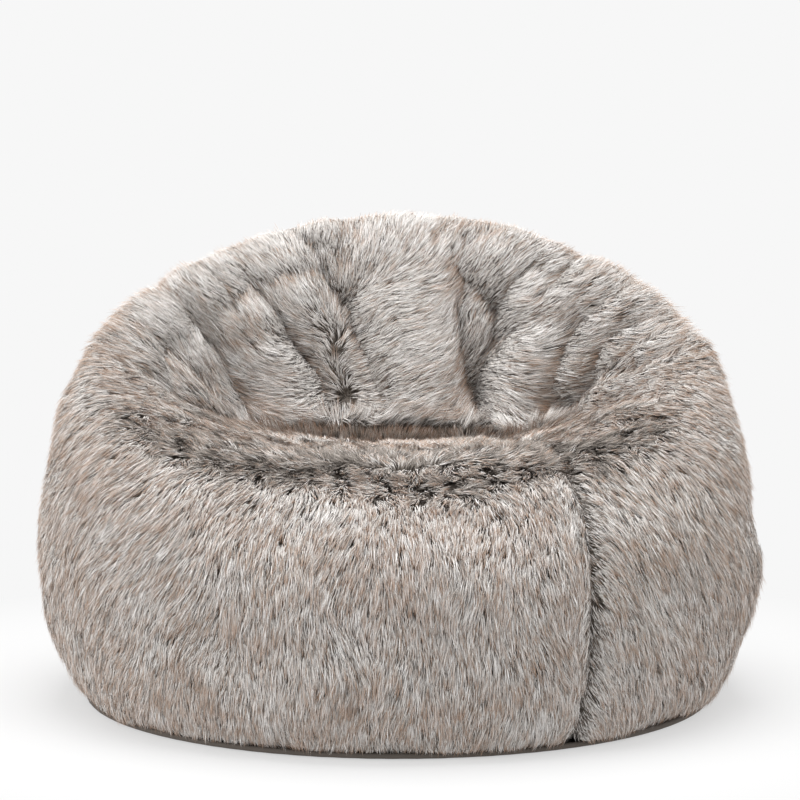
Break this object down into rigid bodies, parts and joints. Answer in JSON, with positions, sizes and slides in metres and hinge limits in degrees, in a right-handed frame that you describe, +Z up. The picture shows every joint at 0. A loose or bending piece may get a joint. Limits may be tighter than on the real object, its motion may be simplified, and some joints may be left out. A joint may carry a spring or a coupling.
{
  "type": "bean bag chair",
  "caption": "Round slouched bean bag chair with a long-pile fur cover, a hollowed seat with a raised back, a hidden cover zip and a zipped liner full of beads.",
  "frame": {"origin": "on the ground under the middle of the bag's overall box", "axes": "+X to the right of the bag seen from its front, -Y the way the sitter faces, +Z up"},
  "size_m": [1, 0.95, 0.66],
  "materials": {
    "fur": "matte",
    "binding": "matte",
    "base_cloth": "matte",
    "zip_cloth": "matte",
    "zip_coil": "satin",
    "zip_metal": "satin",
    "liner_cloth": "matte",
    "liner_tape": "matte",
    "liner_coil": "satin",
    "liner_metal": "satin",
    "beads": "matte"
  },
  "bodies": {
    "root": {"front_gore": "fur", "front_right_gore": "fur", "rear_right_gore": "fur", "rear_gore": "fur", "rear_left_gore": "fur", "front_left_gore": "fur", "top_cap": "fur", "base_panel": "base_cloth", "base_piping": "binding", "seam_tape_front_right": "binding", "seam_tape_right": "binding", "seam_tape_rear_right": "binding", "seam_tape_rear_left": "binding", "seam_tape_left": "binding", "seam_tape_front_left": "binding", "seam_tape_cap": "binding", "zip_tape_upper": "zip_cloth", "zip_tape_lower": "zip_cloth", "zip_coil_upper": "zip_coil", "zip_coil_lower": "zip_coil", "zip_stop_closed": "zip_metal", "zip_stop_open": "zip_metal", "liner_right": "liner_cloth", "liner_left": "liner_cloth", "liner_base": "liner_cloth", "liner_zip_tapes": "liner_tape", "liner_zip_coils": "liner_coil", "liner_zip_stops": "liner_metal", "bead_fill": "beads"},
    "zip_slider": {"zip_slider": "zip_metal"},
    "zip_pull": {"zip_pull": "zip_metal"},
    "liner_zip_slider": {"liner_zip_slider": "liner_metal"}
  },
  "joints": [
    {"name": "zip_run", "type": "hinge", "parent": "root", "child": "zip_slider", "pos_m": [0, 0, 0], "axis": [0, 0, 1], "range_deg": [0, 164]},
    {"name": "pull_flip", "type": "hinge", "parent": "zip_slider", "child": "zip_pull", "pos_m": [0.43131, 0.06062, 0.01721], "axis": [0.0887, 0.0125, 0.996], "range_deg": [-160, 0]},
    {"name": "liner_zip_run", "type": "slide", "parent": "root", "child": "liner_zip_slider", "axis": [1, 0, 0], "range_m": [0, 0.39]}
  ]
}
